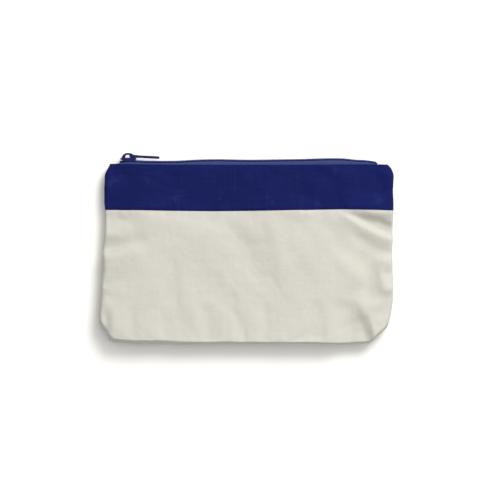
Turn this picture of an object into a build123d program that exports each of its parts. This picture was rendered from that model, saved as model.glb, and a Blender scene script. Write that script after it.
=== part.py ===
"""A zipped canvas pencil case lying on its back panel, in millimetres.

X runs along the zip, Y from the boxed bottom towards the zip, Z up through the
thickness of the case. The origin is on the surface it lies on, at the middle of
its bounding box. The cloth is cut as two halves, front (upper) and back (lower),
each a canvas panel with a dyed band sewn to its top edge. A coil zip closes the
mouth and faces +Y. The front half turns about the bottom seam as the mouth opens.
"""
from build123d import *
from math import atan2, cos, hypot, radians, sin
import os

os.makedirs("parts", exist_ok=True)

# ---- driving dimensions ------------------------------------------------------
HALF_W = 105.0          # half the width across the side seams
BOTTOM_Y = -68.3        # bottom seam, outermost
BAND_SEAM_Y = 27.9      # where band and panel are joined
MOUTH_Y = 59.6          # top edge of the bands
SEAM_Z = 8.0            # height of the side and bottom seams above the surface
FRONT_Z = 17.5          # crown of the front panel
CLOTH = 1.0             # cloth thickness, with its turned edge
CORNER = 12.5           # half the boxed depth: the corner cut in plan
LIP = 5.8               # half the mouth's height at the band edge
SEAM_GAP = 0.05         # front and back halves clear each other by twice this
HEM = 7.0               # width of the turned-in seam allowance
ALLOWANCE = 0.5         # its thickness, each layer

COIL_Y = 61.7           # underside of the zip coils
COIL_T = 1.65           # their thickness
COIL_IN, COIL_OUT = 1.0, 2.9   # coil spine, measured from the zip's centre line
PITCH = 1.6             # tooth to tooth along one coil
TOOTH_W = 0.7
TOOTH_REACH = 0.55      # how far a tooth passes the centre line
COIL_X0, COIL_X1 = -90.5, 94.4
TEETH_X0 = -85.6        # first tooth, just behind the slider's wedge
TAPE_T = 0.5
TAPE_Y = 61.4           # middle of the tape under the coils
TAPE_X = 96.0           # half the tape's straight length

SLIDER_X = -84.8        # middle of the slider when the zip is shut
PLATE_T = 1.1
CHANNEL_Y0, CHANNEL_Y1 = 61.0, 63.5   # inside faces of the slider's two plates
TOP_Y = CHANNEL_Y1 + PLATE_T          # upper face of the slider's top plate
CROWN_H = 3.7           # height of the crown over the top plate
CROWN_W = 2.2
PIVOT = (1.9, 1.35)     # pull's crossbar, from the slider's middle and top plate
PIVOT_R = 0.6           # radius of the crossbar
ARM_R = 1.15            # radius of the pull's arms round the crossbar
PULL_TILT = -2.9        # degrees: the pull leans towards the coils
PULL_T = 1.65           # thickness of the pull's flat end
PULL_LEN = 20.4

STITCH_Y = 56.6         # row of stitches that holds the tape to the band
STITCH_PITCH, STITCH_LEN, STITCH_D = 3.0, 2.4, 0.5


def strip(points, thick):
    """A closed outline of even thickness round an open line of points."""
    left, right = [], []
    n = len(points)
    for i, (px, py) in enumerate(points):
        dirs = []
        if i > 0:
            dirs.append((px - points[i - 1][0], py - points[i - 1][1]))
        if i < n - 1:
            dirs.append((points[i + 1][0] - px, points[i + 1][1] - py))
        units = [(a / hypot(a, b), b / hypot(a, b)) for a, b in dirs]
        tx, ty = sum(u[0] for u in units), sum(u[1] for u in units)
        length = hypot(tx, ty)
        tx, ty = tx / length, ty / length
        half = thick / 2 / max(0.3, tx * units[0][0] + ty * units[0][1])
        left.append((px - ty * half, py + tx * half))
        right.append((px + ty * half, py - tx * half))
    return left + right[::-1]


# ---- the two halves of the case ----------------------------------------------
# Each section is (y, z) from the mouth to the bottom seam. The outer shape is
# lofted through them along X, and the hollow is lofted inside it.
zf = SEAM_Z + SEAM_GAP
zb = SEAM_Z - SEAM_GAP
X_END, X_MID, X_FULL = HALF_W, 102.0, 96.5
Y_END = BOTTOM_Y + CORNER + 0.3
Y_MID = BOTTOM_Y + (X_MID - (HALF_W - CORNER)) * (Y_END - BOTTOM_Y) / CORNER
Y_FULL = BOTTOM_Y + (X_FULL - (HALF_W - CORNER)) * (Y_END - BOTTOM_Y) / CORNER


def front_outer(level):
    if level == 0:
        return [(53.0, zf), (53.0, zf + 1.0), (32.0, zf + 1.3), (Y_END + 6, zf + 1.3), (Y_END + 2, zf + 1.1), (Y_END, zf)]
    if level == 1:
        return [(58.0, zf), (58.0, 11.9), (32.0, 13.6), (Y_MID + 7, 13.6), (Y_MID + 1.5, 11.6), (Y_MID, zf)]
    if level == 2:
        return [(MOUTH_Y, zf), (MOUTH_Y, SEAM_Z + LIP), (32.0, FRONT_Z), (Y_FULL + 6, FRONT_Z), (Y_FULL + 0.9, 13.4), (Y_FULL, zf)]
    return [(MOUTH_Y, zf), (MOUTH_Y, SEAM_Z + LIP), (32.0, FRONT_Z), (BOTTOM_Y + 5.5, FRONT_Z), (BOTTOM_Y + 0.8, 13.4), (BOTTOM_Y, zf)]


def front_inner(level):
    low, t = zf - 1.0, CLOTH
    if level == 0:
        return [(70.0, low), (70.0, zf + 0.1), (32.0, zf + 0.3), (Y_END + 6, zf + 0.3), (Y_END + 3, zf + 0.1), (Y_END + t + 0.4, low)]
    if level == 1:
        return [(70.0, low), (70.0, 10.2), (32.0, 12.5), (Y_MID + 7.5, 12.5), (Y_MID + 2.7, 11.0), (Y_MID + t + 0.3, low)]
    if level == 2:
        return [(70.0, low), (70.0, SEAM_Z + LIP - 2.4), (31.8, FRONT_Z - t), (Y_FULL + 6.4, FRONT_Z - t), (Y_FULL + 2.0, 12.9), (Y_FULL + t, low)]
    return [(70.0, low), (70.0, SEAM_Z + LIP - 2.4), (31.8, FRONT_Z - t), (BOTTOM_Y + 5.9, FRONT_Z - t), (BOTTOM_Y + 1.85, 12.9), (BOTTOM_Y + t, low)]


def back_outer(level):
    if level == 0:
        return [(53.0, zb), (53.0, zb - 1.0), (45.0, zb - 1.3), (Y_END + 6, zb - 1.3), (Y_END + 2, zb - 1.1), (Y_END, zb)]
    if level == 1:
        return [(58.0, zb), (58.0, 4.1), (45.0, 3.2), (Y_MID + 6, 3.2), (Y_MID + 1.5, 4.6), (Y_MID, zb)]
    if level == 2:
        return [(MOUTH_Y, zb), (MOUTH_Y, SEAM_Z - LIP), (45.0, 0.0), (Y_FULL + 7, 0.0), (Y_FULL + 1.4, 3.2), (Y_FULL, zb)]
    return [(MOUTH_Y, zb), (MOUTH_Y, SEAM_Z - LIP), (45.0, 0.0), (BOTTOM_Y + 7.0, 0.0), (BOTTOM_Y + 1.4, 3.2), (BOTTOM_Y, zb)]


def back_inner(level):
    high, t = zb + 1.0, CLOTH
    if level == 0:
        return [(70.0, high), (70.0, zb - 0.1), (45.0, zb - 0.3), (Y_END + 6, zb - 0.3), (Y_END + 3, zb - 0.1), (Y_END + t + 0.4, high)]
    if level == 1:
        return [(70.0, high), (70.0, 6.0), (44.7, 4.3), (Y_MID + 6.5, 4.3), (Y_MID + 2.7, 5.4), (Y_MID + t + 0.3, high)]
    if level == 2:
        return [(70.0, high), (70.0, SEAM_Z - LIP + 2.6), (44.7, t), (Y_FULL + 7.5, t), (Y_FULL + 2.4, 3.9), (Y_FULL + t, high)]
    return [(70.0, high), (70.0, SEAM_Z - LIP + 2.6), (44.7, t), (BOTTOM_Y + 7.5, t), (BOTTOM_Y + 2.4, 3.9), (BOTTOM_Y + t, high)]


OUTER_X = [(-X_END, 0), (-X_MID, 1), (-X_FULL, 2), (-(HALF_W - CORNER), 3),
           (HALF_W - CORNER, 3), (X_FULL, 2), (X_MID, 1), (X_END, 0)]
INNER_X = [(-X_END + 1.1, 0), (-X_MID + 0.6, 1), (-X_FULL + 0.3, 2), (-(HALF_W - CORNER) + 0.3, 3),
           (HALF_W - CORNER - 0.3, 3), (X_FULL - 0.3, 2), (X_MID - 0.6, 1), (X_END - 1.1, 0)]

with BuildPart() as front_shell:
    for x, level in OUTER_X:
        with BuildSketch(Plane.YZ.offset(x)):
            with BuildLine():
                Polyline(*front_outer(level), close=True)
            make_face()
    loft(ruled=True)
    for x, level in INNER_X:
        with BuildSketch(Plane.YZ.offset(x)):
            with BuildLine():
                Polyline(*front_inner(level), close=True)
            make_face()
    loft(ruled=True, mode=Mode.SUBTRACT)
    # seam allowance turned in along both sides and the bottom
    with BuildSketch(Plane.XY.offset(zf)):
        with Locations((-(HALF_W - 1.0) + HEM / 2, -1.0), (HALF_W - 1.0 - HEM / 2, -1.0)):
            Rectangle(HEM, 102.0)
        with Locations((0, BOTTOM_Y + 0.6 + HEM / 2)):
            Rectangle(180.0, HEM)
    extrude(amount=ALLOWANCE)

with BuildPart() as back_shell:
    for x, level in OUTER_X:
        with BuildSketch(Plane.YZ.offset(x)):
            with BuildLine():
                Polyline(*back_outer(level), close=True)
            make_face()
    loft(ruled=True)
    for x, level in INNER_X:
        with BuildSketch(Plane.YZ.offset(x)):
            with BuildLine():
                Polyline(*back_inner(level), close=True)
            make_face()
    loft(ruled=True, mode=Mode.SUBTRACT)
    with BuildSketch(Plane.XY.offset(zb)):
        with Locations((-(HALF_W - 1.0) + HEM / 2, -1.0), (HALF_W - 1.0 - HEM / 2, -1.0)):
            Rectangle(HEM, 102.0)
        with Locations((0, BOTTOM_Y + 0.6 + HEM / 2)):
            Rectangle(180.0, HEM)
    extrude(amount=-ALLOWANCE)

SEAM_PLANE = Plane.XZ.offset(-BAND_SEAM_Y)   # its normal is -Y

with BuildPart() as front_panel:
    add(front_shell.part)
    split(bisect_by=SEAM_PLANE, keep=Keep.TOP)

with BuildPart() as front_band:
    add(front_shell.part)
    split(bisect_by=SEAM_PLANE, keep=Keep.BOTTOM)

with BuildPart() as back_panel:
    add(back_shell.part)
    split(bisect_by=SEAM_PLANE, keep=Keep.TOP)

with BuildPart() as back_band:
    add(back_shell.part)
    split(bisect_by=SEAM_PLANE, keep=Keep.BOTTOM)

# ---- overlocked edges inside -------------------------------------------------
OVERLOCK_W, OVERLOCK_T = 1.4, 1.6
OVERLOCK_X = HALF_W - 1.0 - HEM - 0.1 - OVERLOCK_W / 2

with BuildPart() as side_overlock_left:
    with Locations((-OVERLOCK_X, -1.5, SEAM_Z)):
        Box(OVERLOCK_W, 101.0, OVERLOCK_T)
    fillet(side_overlock_left.edges().filter_by(Axis.Y), 0.4)

with BuildPart() as side_overlock_right:
    with Locations((OVERLOCK_X, -1.5, SEAM_Z)):
        Box(OVERLOCK_W, 101.0, OVERLOCK_T)
    fillet(side_overlock_right.edges().filter_by(Axis.Y), 0.4)

with BuildPart() as bottom_overlock:
    with Locations((0, BOTTOM_Y + 0.6 + HEM + 0.1 + OVERLOCK_W / 2, SEAM_Z)):
        Box(178.0, OVERLOCK_W, OVERLOCK_T)
    fillet(bottom_overlock.edges().filter_by(Axis.X), 0.4)

with BuildPart() as corner_overlock_left:
    with Locations(Location((-94.4, -61.0, SEAM_Z), (0, 0, 45))):
        Box(OVERLOCK_T, OVERLOCK_W, 6.0)
    fillet(corner_overlock_left.edges().filter_by(Axis.Z), 0.4)

with BuildPart() as corner_overlock_right:
    with Locations(Location((94.4, -61.0, SEAM_Z), (0, 0, -45))):
        Box(OVERLOCK_T, OVERLOCK_W, 6.0)
    fillet(corner_overlock_right.edges().filter_by(Axis.Z), 0.4)

with BuildPart() as band_overlock_front:
    with Locations((0, BAND_SEAM_Y + 1.5, FRONT_Z - CLOTH - 0.5)):
        Box(172.0, 4.8, 0.8)
    fillet(band_overlock_front.edges().filter_by(Axis.X), 0.25)

with BuildPart() as band_overlock_back:
    with Locations((0, BAND_SEAM_Y + 1.5, CLOTH + 0.5)):
        Box(172.0, 4.8, 0.8)
    fillet(band_overlock_back.edges().filter_by(Axis.X), 0.25)

# ---- zip tapes ---------------------------------------------------------------
TAPE_LINE = [(TAPE_Y, 0.95), (TAPE_Y, 4.7), (59.2, 4.25), (47.0, 5.8)]
TAPE_END = [(58.4, 0.1), (58.4, 4.3), (50.0, 5.0), (50.0, 0.1)]
TAPE_TIP = [(54.0, 0.1), (54.0, 0.9), (50.0, 1.0), (50.0, 0.1)]

with BuildPart() as zip_tape_front:
    with BuildSketch(Plane.YZ.offset(-TAPE_X)):
        with BuildLine():
            Polyline(*[(y, SEAM_Z + z) for y, z in strip(TAPE_LINE, TAPE_T)], close=True)
        make_face()
    extrude(amount=2 * TAPE_X)
    for side in (-1, 1):
        with BuildSketch(Plane.YZ.offset(side * (TAPE_X - 0.3))):
            with BuildLine():
                Polyline(*[(y, SEAM_Z + z) for y, z in TAPE_END], close=True)
            make_face()
        with BuildSketch(Plane.YZ.offset(side * 102.6)):
            with BuildLine():
                Polyline(*[(y, SEAM_Z + z) for y, z in TAPE_TIP], close=True)
            make_face()
        loft(ruled=True)

with BuildPart() as zip_tape_back:
    with BuildSketch(Plane.YZ.offset(-TAPE_X)):
        with BuildLine():
            Polyline(*[(y, SEAM_Z - z) for y, z in strip(TAPE_LINE, TAPE_T)], close=True)
        make_face()
    extrude(amount=2 * TAPE_X)
    for side in (-1, 1):
        with BuildSketch(Plane.YZ.offset(side * (TAPE_X - 0.3))):
            with BuildLine():
                Polyline(*[(y, SEAM_Z - z) for y, z in TAPE_END], close=True)
            make_face()
        with BuildSketch(Plane.YZ.offset(side * 102.6)):
            with BuildLine():
                Polyline(*[(y, SEAM_Z - z) for y, z in TAPE_TIP], close=True)
            make_face()
        loft(ruled=True)

# ---- coils: a spine with interlocking heads, and the cord that runs inside ----
def comb(first, sign):
    """Outline in X and Z of one coil: its spine, and its heads past the centre."""
    points = [(COIL_X0, sign * COIL_OUT), (COIL_X0, sign * COIL_IN)]
    x = first
    while x + TOOTH_W / 2 < COIL_X1 - 0.2:
        points += [(x - TOOTH_W / 2, sign * COIL_IN), (x - TOOTH_W / 2, -sign * TOOTH_REACH),
                   (x + TOOTH_W / 2, -sign * TOOTH_REACH), (x + TOOTH_W / 2, sign * COIL_IN)]
        x += PITCH
    points += [(COIL_X1, sign * COIL_IN), (COIL_X1, sign * COIL_OUT)]
    return points


ZIP_PLANE = Plane(origin=(0, COIL_Y, SEAM_Z), x_dir=(1, 0, 0), z_dir=(0, 1, 0))   # local y is -Z
CORD_BORE, CORD_R = 0.45, 0.4
CORD_Y = COIL_Y + COIL_T / 2

with BuildPart() as zip_coil_front:
    with BuildSketch(ZIP_PLANE):
        with BuildLine():
            Polyline(*[(x, -z) for x, z in comb(TEETH_X0, 1)], close=True)
        make_face()
    extrude(amount=COIL_T)
    with BuildSketch(Plane.YZ.offset(COIL_X0)):
        with Locations((CORD_Y, SEAM_Z + 1.95)):
            Circle(CORD_BORE)
    extrude(amount=COIL_X1 - COIL_X0, mode=Mode.SUBTRACT)

with BuildPart() as zip_coil_back:
    with BuildSketch(ZIP_PLANE):
        with BuildLine():
            Polyline(*[(x, -z) for x, z in comb(TEETH_X0 + PITCH / 2, -1)], close=True)
        make_face()
    extrude(amount=COIL_T)
    with BuildSketch(Plane.YZ.offset(COIL_X0)):
        with Locations((CORD_Y, SEAM_Z - 1.95)):
            Circle(CORD_BORE)
    extrude(amount=COIL_X1 - COIL_X0, mode=Mode.SUBTRACT)

with BuildPart() as coil_cord_front:
    with BuildSketch(Plane.YZ.offset(COIL_X0)):
        with Locations((CORD_Y, SEAM_Z + 1.95)):
            Circle(CORD_R)
    extrude(amount=COIL_X1 - COIL_X0)

with BuildPart() as coil_cord_back:
    with BuildSketch(Plane.YZ.offset(COIL_X0)):
        with Locations((CORD_Y, SEAM_Z - 1.95)):
            Circle(CORD_R)
    extrude(amount=COIL_X1 - COIL_X0)

# ---- bar tacks across both ends of the zip -------------------------------------
with BuildPart() as zip_tacks:
    for side in (-1, 1):
        with BuildSketch(Plane(origin=(side * 95.2, TAPE_Y + TAPE_T / 2 + 0.02, SEAM_Z), x_dir=(1, 0, 0), z_dir=(0, 1, 0))):
            with GridLocations(1.0, 1.35, 1, 7):
                SlotOverall(0.95, 0.45)
        extrude(amount=0.35)

# ---- stitches that hold the tape to the bands ---------------------------------
front_slope = atan2(FRONT_Z - SEAM_Z - LIP, MOUTH_Y - 32.0)
front_row = Plane(
    origin=(0, STITCH_Y, SEAM_Z + LIP + (MOUTH_Y - STITCH_Y) * (FRONT_Z - SEAM_Z - LIP) / (MOUTH_Y - 32.0)),
    x_dir=(1, 0, 0), z_dir=(0, sin(front_slope), cos(front_slope)))
back_slope = atan2(SEAM_Z - LIP, MOUTH_Y - 45.0)
back_row = Plane(
    origin=(0, STITCH_Y, (SEAM_Z - LIP) * (STITCH_Y - 45.0) / (MOUTH_Y - 45.0)),
    x_dir=(1, 0, 0), z_dir=(0, sin(back_slope), -cos(back_slope)))

with BuildPart() as zip_stitches_front:
    with BuildSketch(front_row.offset(0.02)):
        with GridLocations(STITCH_PITCH, 1, 61, 1):
            SlotOverall(STITCH_LEN, STITCH_D)
    extrude(amount=0.35)

with BuildPart() as zip_stitches_back:
    with BuildSketch(back_row.offset(0.02)):
        with GridLocations(STITCH_PITCH, 1, 61, 1):
            SlotOverall(STITCH_LEN, STITCH_D)
    extrude(amount=0.35)

# ---- slider ------------------------------------------------------------------
def mirrored(points):
    """A closed outline from its half with y >= 0."""
    return points + [(x, -y) for x, y in reversed(points) if y > 1e-9]


PLATE = [(-4.7, 0.0), (-5.7, 1.4), (-5.5, 3.4), (-4.1, 4.5), (-1.4, 4.5), (2.2, 3.9), (5.0, 3.8), (5.7, 3.1)]
LOW_PLATE = [(-4.7, 0.0), (-5.7, 1.1), (-5.5, 2.8), (-4.3, 3.7), (-1.4, 3.7), (2.2, 3.5), (5.0, 3.4), (5.7, 2.8)]
FLANGE = [(-3.9, 3.75), (-3.9, 4.4), (-1.4, 4.4), (2.1, 3.8), (4.8, 3.7), (4.8, 3.1), (2.0, 3.15), (-1.5, 3.75)]


def slider_plane(y):
    return Plane(origin=(SLIDER_X, y, SEAM_Z), x_dir=(1, 0, 0), z_dir=(0, 1, 0))


with BuildPart() as slider_body:
    with BuildSketch(slider_plane(CHANNEL_Y1)):
        with BuildLine():
            Polyline(*mirrored(PLATE), close=True)
        make_face()
        fillet(vertices(), 0.35)
    extrude(amount=PLATE_T)
    with BuildSketch(slider_plane(CHANNEL_Y0)):
        with BuildLine():
            Polyline(*mirrored(LOW_PLATE), close=True)
        make_face()
        fillet(vertices(), 0.35)
    extrude(amount=-PLATE_T)
    fillet(slider_body.edges().group_by(Axis.Y)[-1], 0.35)
    fillet(slider_body.edges().group_by(Axis.Y)[0], 0.35)
    with BuildSketch(slider_plane(CHANNEL_Y0)):
        with BuildLine():
            Polyline((-4.5, 0), (-3.9, 0.85), (-2.7, 0.85), (-1.9, 0), (-2.7, -0.85), (-3.9, -0.85), close=True)
        make_face()
    extrude(amount=CHANNEL_Y1 - CHANNEL_Y0)
    with BuildSketch(slider_plane(CHANNEL_Y1)):
        for side in (-1, 1):
            with BuildLine():
                Polyline(*[(x, side * y) for x, y in FLANGE], close=True)
            make_face()
    extrude(amount=-1.5)

PROFILE = Plane(origin=(SLIDER_X, TOP_Y, SEAM_Z), x_dir=(1, 0, 0), z_dir=(0, 0, 1))   # local y is +Y

with BuildPart() as slider_crown:
    with BuildSketch(PROFILE):
        with BuildLine():
            Polyline((-4.9, 0), (-4.5, 1.3), (-3.2, 2.8), (-1.5, CROWN_H - 0.1), (0.2, CROWN_H), (2.2, CROWN_H - 0.3),
                     (3.7, 2.5), (4.3, 0), close=True)
        make_face()
        fillet(vertices().group_by(Axis.Y)[1:], 0.45)
        with BuildLine():
            Polyline((-2.2, 0.3), (-2.0, 1.7), (-1.3, 2.3), (2.0, 2.3), (2.7, 1.9), (2.9, 0.3), close=True)
        make_face(mode=Mode.SUBTRACT)
    extrude(amount=CROWN_W / 2, both=True)

# ---- pull --------------------------------------------------------------------
tilt = radians(PULL_TILT)
PULL_PLANE = Plane(
    origin=(SLIDER_X + PIVOT[0], TOP_Y + PIVOT[1], SEAM_Z),
    x_dir=(cos(tilt), sin(tilt), 0), z_dir=(-sin(tilt), cos(tilt), 0))
TAB = [(0.0, 3.1), (5.4, 3.1), (7.2, 2.2), (11.5, 2.3), (17.0, 3.0), (18.9, 2.9), (PULL_LEN, 1.7)]
SIDE_PLANE = Plane(origin=PULL_PLANE.origin, x_dir=PULL_PLANE.x_dir, z_dir=(0, 0, 1))

with BuildPart() as pull_tab:
    # seen from its side: round where it turns on the crown, thinning to a flat tab
    with BuildSketch(SIDE_PLANE.offset(-3.1)):
        with BuildLine():
            Polyline((0, ARM_R), (1.6, 1.05), (5.6, PULL_T / 2), (PULL_LEN, PULL_T / 2),
                     (PULL_LEN, -PULL_T / 2), (5.6, -PULL_T / 2), (1.6, -1.0), (0, -ARM_R), close=True)
        make_face()
        Circle(ARM_R)
    extrude(amount=6.2)
    # seen from above: a ring for the crown, a waist and a wider end
    with BuildSketch(PULL_PLANE.offset(-1.6)):
        with Locations((-0.65, 0)):
            Rectangle(1.5, 6.2)
        with BuildLine():
            Polyline(*mirrored(TAB), close=True)
        make_face()
        fillet(vertices().group_by(Axis.X)[-1], 1.2)
        with Locations((2.0, 0)):
            Rectangle(6.8, 2.9, mode=Mode.SUBTRACT)
    extrude(amount=3.2, mode=Mode.INTERSECT)
    fillet(pull_tab.edges().group_by(Axis.X)[-1].filter_by(Axis.Z), 0.35)
    with BuildSketch(SIDE_PLANE.offset(-1.6)):
        Circle(PIVOT_R)
    extrude(amount=3.2)

made = {
    "front_panel": front_panel, "front_band": front_band, "back_panel": back_panel, "back_band": back_band,
    "side_overlock_left": side_overlock_left, "side_overlock_right": side_overlock_right,
    "bottom_overlock": bottom_overlock, "corner_overlock_left": corner_overlock_left,
    "corner_overlock_right": corner_overlock_right, "band_overlock_front": band_overlock_front,
    "band_overlock_back": band_overlock_back, "zip_tape_front": zip_tape_front, "zip_tape_back": zip_tape_back,
    "zip_coil_front": zip_coil_front, "zip_coil_back": zip_coil_back, "coil_cord_front": coil_cord_front,
    "coil_cord_back": coil_cord_back, "zip_tacks": zip_tacks, "zip_stitches_front": zip_stitches_front,
    "zip_stitches_back": zip_stitches_back, "slider_body": slider_body, "slider_crown": slider_crown,
    "pull_tab": pull_tab,
}
for node, builder in made.items():
    builder.part.label = node
    export_step(builder.part, f"parts/{node}.step")
print(len(made), "nodes")
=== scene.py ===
"""Looks of a zipped canvas pencil case lying on its back panel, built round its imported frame."""
import math

import bpy
import numpy as np
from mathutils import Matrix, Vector


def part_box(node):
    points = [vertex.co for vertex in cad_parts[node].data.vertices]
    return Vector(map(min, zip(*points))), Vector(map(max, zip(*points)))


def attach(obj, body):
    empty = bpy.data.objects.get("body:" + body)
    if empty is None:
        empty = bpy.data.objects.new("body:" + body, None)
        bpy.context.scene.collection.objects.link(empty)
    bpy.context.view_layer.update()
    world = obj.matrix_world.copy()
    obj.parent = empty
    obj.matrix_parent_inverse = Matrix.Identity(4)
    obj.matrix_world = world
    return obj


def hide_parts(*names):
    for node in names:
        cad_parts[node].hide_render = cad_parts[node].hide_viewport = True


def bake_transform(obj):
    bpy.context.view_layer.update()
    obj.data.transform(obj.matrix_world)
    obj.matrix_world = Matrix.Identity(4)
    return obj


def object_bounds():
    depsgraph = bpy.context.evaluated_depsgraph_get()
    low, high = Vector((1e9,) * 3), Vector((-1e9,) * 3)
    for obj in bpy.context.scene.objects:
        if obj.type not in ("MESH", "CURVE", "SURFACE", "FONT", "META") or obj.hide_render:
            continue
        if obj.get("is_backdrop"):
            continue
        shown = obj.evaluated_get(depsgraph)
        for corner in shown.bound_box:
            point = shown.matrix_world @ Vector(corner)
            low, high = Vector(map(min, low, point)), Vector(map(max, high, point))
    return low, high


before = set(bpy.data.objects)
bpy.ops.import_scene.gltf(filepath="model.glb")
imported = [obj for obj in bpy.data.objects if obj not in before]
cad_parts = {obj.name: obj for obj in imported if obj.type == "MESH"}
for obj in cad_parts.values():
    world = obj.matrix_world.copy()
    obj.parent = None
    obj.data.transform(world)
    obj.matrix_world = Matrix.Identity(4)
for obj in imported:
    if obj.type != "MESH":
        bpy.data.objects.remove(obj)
cad_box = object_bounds()
MM = 0.001

# ------------------------------------------------------------------ helpers
def smooth(t):
    t = np.clip(t, 0.0, 1.0)
    return t * t * (3 - 2 * t)


def line(xs, ys, sigma=1.5, step=0.25):
    """A smooth curve y(x) through rounded corners: linear pieces, then a Gaussian blur."""
    xs, ys = np.asarray(xs, float), np.asarray(ys, float)
    g = np.arange(xs[0] - 12, xs[-1] + 12, step)
    v = np.interp(g, xs, ys)
    k = np.exp(-0.5 * (np.arange(-int(4 * sigma / step), int(4 * sigma / step) + 1) * step / sigma) ** 2)
    v = np.convolve(np.pad(v, len(k) // 2, mode="edge"), k / k.sum(), mode="valid")
    return lambda x: np.interp(x, g, v)


def swell(x, y, scale, seed, n=28, spread=0.35, stretch=(1.0, 1.0)):
    """Smooth random undulation of about unit height, features about `scale` across."""
    r = np.random.default_rng(seed)
    out = np.zeros_like(x, dtype=float)
    for _ in range(n):
        a = r.uniform(0, 2 * math.pi)
        k = 2 * math.pi / (scale * r.uniform(1 - spread, 1 + spread) * 2)
        out += np.cos(k * (math.cos(a) * x / stretch[0] + math.sin(a) * y / stretch[1]) + r.uniform(0, 2 * math.pi))
    return out * math.sqrt(2.0 / n) * 0.7


def nearest(x, y, pts):
    """Signed distance to a polyline (positive on its left), and how far along it the nearest point is, 0 to 1."""
    pts = np.asarray(pts, float)
    seg = np.hypot(*np.diff(pts, axis=0).T)
    total, run = seg.sum(), 0.0
    best = np.full(x.shape, 1e9)
    along = np.zeros(x.shape)
    side = np.ones(x.shape)
    for (ax, ay), (bx, by), length in zip(pts[:-1], pts[1:], seg):
        dx, dy = (bx - ax) / length, (by - ay) / length
        t = np.clip((x - ax) * dx + (y - ay) * dy, 0, length)
        d = np.hypot(x - ax - t * dx, y - ay - t * dy)
        closer = d < best
        best = np.where(closer, d, best)
        along = np.where(closer, (run + t) / total, along)
        side = np.where(closer, np.where(dx * (y - ay) - dy * (x - ax) >= 0, 1.0, -1.0), side)
        run += length
    return best * side, along


def curve(pts, n=40):
    """A smooth curve through points."""
    pts = np.asarray(pts, float)
    if len(pts) < 3:
        return pts
    seg = np.concatenate([[0], np.cumsum(np.hypot(*np.diff(pts, axis=0).T))])
    g = np.linspace(0, seg[-1], n)
    q = np.stack([np.interp(g, seg, pts[:, 0]), np.interp(g, seg, pts[:, 1])], -1)
    for _ in range(max(2, n // 4)):
        q[1:-1] = (q[:-2] + 2 * q[1:-1] + q[2:]) / 4
    return q


def fold(x, y, pts, height, left, right, ends=(0.0, 1.0, 1.0, 0.0), at=(0.0, 0.3, 0.7, 1.0)):
    """A ridge (height > 0) or valley along a line, with its own width on each side."""
    d, s = nearest(x, y, curve(pts))
    w = right + (left - right) * smooth(d / (left + right) + 0.5)
    k = np.clip(np.searchsorted(at, s, side="right") - 1, 0, len(at) - 2)
    a, e = np.asarray(at), np.asarray(ends)
    t = smooth((s - a[k]) / (a[k + 1] - a[k]))
    return height * (e[k] + (e[k + 1] - e[k]) * t) * np.exp(-(d / w) ** 2)


# ------------------------------------------------------------------ outline, in millimetres
SEAM = 8.0
LEFT = line([-68.0, -66.5, -64.8, -53.6, -47.9, -30.0, 0.8, 9.4, 28.1, 50.0, 53.4, 57.0, 60.3],
            [-96.1, -96.9, -98.6, -105.9, -106.2, -104.9, -103.2, -102.1, -102.3, -102.3, -101.9, -100.5, -98.3], 1.0)
RIGHT = line([-68.6, -67.6, -57.2, -51.5, -44.3, -37.0, 0.0, 20.0, 40.0, 52.0, 55.6, 58.9, 60.3],
             [88.4, 89.6, 101.1, 102.8, 104.3, 105.3, 105.3, 105.7, 105.7, 106.0, 104.9, 103.2, 100.0], 0.8)
BOTTOM = line([-95.0, -80.0, -40.0, 0.0, 40.0, 80.0, 88.0], [-68.0, -69.2, -69.1, -68.8, -68.8, -69.0, -68.8], 4.0)
SEAMLINE = line([-102, -60, -20, 10, 40, 67, 95, 105], [27.4, 26.7, 26.4, 26.6, 27.3, 27.8, 27.3, 26.8], 6.0)
MOUTH = line([-98.4, -91.5, -87.0, -60.0, 0.0, 55.0, 90.0, 95.0, 100.0], [60.2, 60.15, 60.0, 59.6, 59.4, 59.6, 59.8, 59.9, 59.7], 2.5)
ZIPWAVE = line([-96, -92, -88, -82, -70, -50, -33, -20, 2, 38, 58, 70, 78, 85, 91, 96, 103],
               [-1.8, -1.0, 0.0, 0.0, -0.7, -0.6, 0.35, 0.55, 0.1, 0.6, 1.25, 1.15, 0.15, -0.05, -0.8, -2.2, -3.4], 2.0)


def arc(points, n, dense_start=0, dense_end=0):
    """n places along a polyline, at parameters `n`."""
    seg = np.hypot(*np.diff(points, axis=0).T)
    s = np.concatenate([[0], np.cumsum(seg)])
    return np.stack([np.interp(n * s[-1], s, points[:, 0]), np.interp(n * s[-1], s, points[:, 1])], -1)


def spaced(total, first, step, last=None):
    """Parameters 0..1 along a length: close together at the start (and the end), then even."""
    a = np.array(first)
    b = total - np.array(last)[::-1] if last is not None else np.array([total])
    n = max(2, int(round((b[0] - a[-1]) / step)))
    return np.concatenate([a, np.linspace(a[-1], b[0], n + 1)[1:-1], b]) / total


EDGE = [0.0, 0.12, 0.35, 0.7, 1.15, 1.7, 2.35, 3.1, 4.0, 5.1]
ys = np.linspace(-66.9, 27.4, 400)
left_low = np.stack([LEFT(ys), ys], -1)
ys = np.linspace(-68.2, 26.9, 400)
right_low = np.stack([RIGHT(ys), ys], -1)
xs = np.linspace(left_low[0, 0], right_low[0, 0], 300)
bottom = np.stack([xs, BOTTOM(xs)], -1)
bottom[0], bottom[-1] = left_low[0], right_low[0]
xs = np.linspace(left_low[-1, 0], right_low[-1, 0], 300)
seamline = np.stack([xs, SEAMLINE(xs)], -1)
seamline[0], seamline[-1] = left_low[-1], right_low[-1]
ys = np.linspace(left_low[-1, 1], 60.2, 150)
left_high = np.stack([LEFT(ys), ys], -1)
ys = np.linspace(right_low[-1, 1], 59.7, 150)
right_high = np.stack([RIGHT(ys), ys], -1)
xs = np.linspace(left_high[-1, 0], right_high[-1, 0], 300)
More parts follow.
